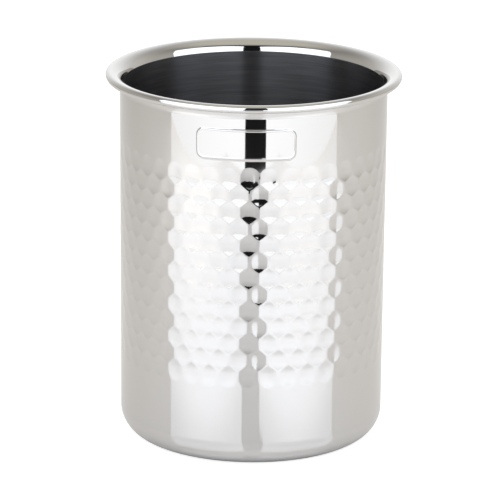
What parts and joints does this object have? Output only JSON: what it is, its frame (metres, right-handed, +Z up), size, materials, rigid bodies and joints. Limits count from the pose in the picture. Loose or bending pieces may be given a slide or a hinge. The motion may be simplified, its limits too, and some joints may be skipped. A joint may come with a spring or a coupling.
{
  "type": "utensil holder",
  "caption": "Round, open-topped steel crock with a flared rolled lip, a hammered dimple band, a blank raised panel and a brushed liner; it stands on its base and holds cooking utensils.",
  "frame": {"origin": "centre of the underside, in the plane of the table", "axes": "+Z up along the axis of the crock; -Y towards the front, where the raised panel is"},
  "size_m": [0.1402, 0.1402, 0.178],
  "materials": {
    "polished_steel": "mirror-polished stainless steel, hammered",
    "brushed_steel": "brushed round, with a polished mouth",
    "plain_steel": "plain satin sheet"
  },
  "bodies": {
    "root": {"outer_shell": "polished_steel", "inner_liner": "brushed_steel", "base_plate": "plain_steel"}
  },
  "joints": []
}
